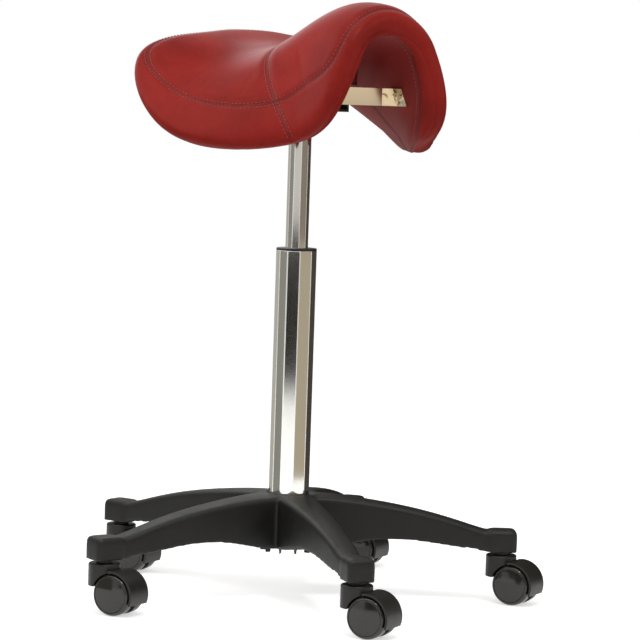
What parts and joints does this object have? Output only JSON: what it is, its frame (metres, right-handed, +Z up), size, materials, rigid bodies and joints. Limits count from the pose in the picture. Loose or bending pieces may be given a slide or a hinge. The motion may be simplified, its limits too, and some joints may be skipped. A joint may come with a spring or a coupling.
{
  "type": "saddle stool",
  "caption": "Saddle stool: padded saddle seat on a gas-lift column and a five-arm base with twin-wheel casters.",
  "frame": {"origin": "on the floor, under the axis of the gas-lift column", "axes": "+Z up along the column, -Y towards the saddle's front, +X to the rider's left"},
  "size_m": [0.5484, 0.5819, 0.7345],
  "materials": {
    "axle_steel": "bright steel",
    "base_nylon": "black glass-filled nylon, satin",
    "bearing_steel": "hardened steel",
    "board_wood": "bent plywood",
    "bracket_nickel": "nickel-plated",
    "buffer_rubber": "rubber",
    "bush_plastic": "acetal",
    "collar_plastic": "black plastic",
    "cylinder_chrome": "chromium-plated",
    "foam": "moulded seat foam",
    "grip_plastic": "black plastic",
    "head_paint": "black powder coat",
    "hood_nylon": "moulded black nylon",
    "lever_chrome": "chromium-plated",
    "lining_fabric": "dark red lining",
    "lock_paint": "black powder coat",
    "pin_steel": "zinc-plated steel",
    "red_leather": "red leather, half gloss, double-stitched seams",
    "socket_steel": "zinc-plated steel",
    "tube_chrome": "chromium-plated",
    "valve_steel": "ground steel",
    "wheel_nylon": "moulded dark nylon, half gloss"
  },
  "bodies": {
    "base": {"base_star": "base_nylon", "stem_sockets": "socket_steel", "caster_stems": "socket_steel", "stem_rings": "socket_steel", "outer_tube": "tube_chrome", "tube_end_plate": "socket_steel", "guide_bush": "bush_plastic", "collar_ring": "collar_plastic", "lower_race": "socket_steel"},
    "swivel_rod": {"piston_rod": "socket_steel", "piston": "bush_plastic", "bearing_balls": "bearing_steel", "upper_race": "socket_steel", "rubber_buffer": "buffer_rubber", "rod_clip": "socket_steel"},
    "column": {"gas_cylinder": "cylinder_chrome", "rod_guide": "bush_plastic", "column_head": "head_paint", "lever_pin": "pin_steel", "lock_bolt": "pin_steel", "lock_nut": "pin_steel"},
    "saddle": {"saddle_plate": "head_paint", "pivot_pin": "pin_steel", "spacer_block": "board_wood", "plate_bolts": "pin_steel", "threaded_inserts": "pin_steel", "shell_board": "board_wood", "foam_pad": "foam", "cover_top_front": "red_leather", "cover_top_rear": "red_leather", "cover_border_front": "red_leather", "cover_border_rear": "red_leather", "under_lining": "lining_fabric", "front_bracket": "bracket_nickel", "bracket_screws": "pin_steel"},
    "lift_lever": {"lift_lever_rod": "lever_chrome", "lift_lever_grip": "grip_plastic"},
    "valve": {"valve_pin": "valve_steel"},
    "lock_arm": {"lock_lever": "lock_paint"},
    "caster_1": {"caster_1_hood": "hood_nylon", "caster_1_axle": "axle_steel"},
    "caster_1_a": {"caster_1_wheel_a": "wheel_nylon"},
    "caster_1_b": {"caster_1_wheel_b": "wheel_nylon"},
    "caster_2": {"caster_2_hood": "hood_nylon", "caster_2_axle": "axle_steel"},
    "caster_2_a": {"caster_2_wheel_a": "wheel_nylon"},
    "caster_2_b": {"caster_2_wheel_b": "wheel_nylon"},
    "caster_3": {"caster_3_hood": "hood_nylon", "caster_3_axle": "axle_steel"},
    "caster_3_a": {"caster_3_wheel_a": "wheel_nylon"},
    "caster_3_b": {"caster_3_wheel_b": "wheel_nylon"},
    "caster_4": {"caster_4_hood": "hood_nylon", "caster_4_axle": "axle_steel"},
    "caster_4_a": {"caster_4_wheel_a": "wheel_nylon"},
    "caster_4_b": {"caster_4_wheel_b": "wheel_nylon"},
    "caster_5": {"caster_5_hood": "hood_nylon", "caster_5_axle": "axle_steel"},
    "caster_5_a": {"caster_5_wheel_a": "wheel_nylon"},
    "caster_5_b": {"caster_5_wheel_b": "wheel_nylon"}
  },
  "joints": [
    {"name": "rod_swivel", "type": "hinge", "parent": "base", "child": "swivel_rod", "pos_m": [0, 0, 0.08], "axis": [0, 0, 1], "continuous": true},
    {"name": "height_slide", "type": "slide", "parent": "swivel_rod", "child": "column", "axis": [0, 0, 1], "range_m": [-0.152, 0]},
    {"name": "saddle_tilt", "type": "hinge", "parent": "column", "child": "saddle", "pos_m": [0, -0.05, 0.618], "axis": [1, 0, 0], "range_deg": [-3, 8]},
    {"name": "lift_lever_turn", "type": "hinge", "parent": "column", "child": "lift_lever", "pos_m": [-0.016, 0, 0.62285], "axis": [0, 1, 0], "range_deg": [0, 8], "stiffness_Nm_per_rad": 1},
    {"name": "valve_press", "type": "slide", "parent": "column", "child": "valve", "axis": [0, 0, -1], "range_m": [0, 0.0025]},
    {"name": "lock_turn", "type": "hinge", "parent": "column", "child": "lock_arm", "pos_m": [0, 0.036, 0.618], "axis": [1, 0, 0], "range_deg": [-60, 0]},
    {"name": "caster_1_swivel", "type": "hinge", "parent": "base", "child": "caster_1", "pos_m": [-0.07175, 0.25697, 0.06], "axis": [0, 0, 1], "continuous": true},
    {"name": "caster_1_wheel_a_roll", "type": "hinge", "parent": "caster_1", "child": "caster_1_a", "pos_m": [-0.06335, 0.23718, 0.025], "axis": [0.9205, 0.3907, 0], "continuous": true},
    {"name": "caster_1_wheel_b_roll", "type": "hinge", "parent": "caster_1", "child": "caster_1_b", "pos_m": [-0.06335, 0.23718, 0.025], "axis": [0.9205, 0.3907, 0], "continuous": true},
    {"name": "caster_2_swivel", "type": "hinge", "parent": "base", "child": "caster_2", "pos_m": [-0.26657, 0.01117, 0.06], "axis": [0, 0, 1], "continuous": true},
    {"name": "caster_2_wheel_a_roll", "type": "hinge", "parent": "caster_2", "child": "caster_2_a", "pos_m": [-0.25816, -0.00862, 0.025], "axis": [0.9205, 0.3907, 0], "continuous": true},
    {"name": "caster_2_wheel_b_roll", "type": "hinge", "parent": "caster_2", "child": "caster_2_b", "pos_m": [-0.25816, -0.00862, 0.025], "axis": [0.9205, 0.3907, 0], "continuous": true},
    {"name": "caster_3_swivel", "type": "hinge", "parent": "base", "child": "caster_3", "pos_m": [-0.093, -0.25007, 0.06], "axis": [0, 0, 1], "continuous": true},
    {"name": "caster_3_wheel_a_roll", "type": "hinge", "parent": "caster_3", "child": "caster_3_a", "pos_m": [-0.0846, -0.26986, 0.025], "axis": [0.9205, 0.3907, 0], "continuous": true},
    {"name": "caster_3_wheel_b_roll", "type": "hinge", "parent": "caster_3", "child": "caster_3_b", "pos_m": [-0.0846, -0.26986, 0.025], "axis": [0.9205, 0.3907, 0], "continuous": true},
    {"name": "caster_4_swivel", "type": "hinge", "parent": "base", "child": "caster_4", "pos_m": [0.20909, -0.16572, 0.06], "axis": [0, 0, 1], "continuous": true},
    {"name": "caster_4_wheel_a_roll", "type": "hinge", "parent": "caster_4", "child": "caster_4_a", "pos_m": [0.21749, -0.18551, 0.025], "axis": [0.9205, 0.3907, 0], "continuous": true},
    {"name": "caster_4_wheel_b_roll", "type": "hinge", "parent": "caster_4", "child": "caster_4_b", "pos_m": [0.21749, -0.18551, 0.025], "axis": [0.9205, 0.3907, 0], "continuous": true},
    {"name": "caster_5_swivel", "type": "hinge", "parent": "base", "child": "caster_5", "pos_m": [0.22222, 0.14764, 0.06], "axis": [0, 0, 1], "continuous": true},
    {"name": "caster_5_wheel_a_roll", "type": "hinge", "parent": "caster_5", "child": "caster_5_a", "pos_m": [0.23062, 0.12785, 0.025], "axis": [0.9205, 0.3907, 0], "continuous": true},
    {"name": "caster_5_wheel_b_roll", "type": "hinge", "parent": "caster_5", "child": "caster_5_b", "pos_m": [0.23062, 0.12785, 0.025], "axis": [0.9205, 0.3907, 0], "continuous": true}
  ],
  "couplings": [
    {"joint": "valve_press", "follows": "lift_lever_turn", "m_per_rad": 0.017}
  ]
}
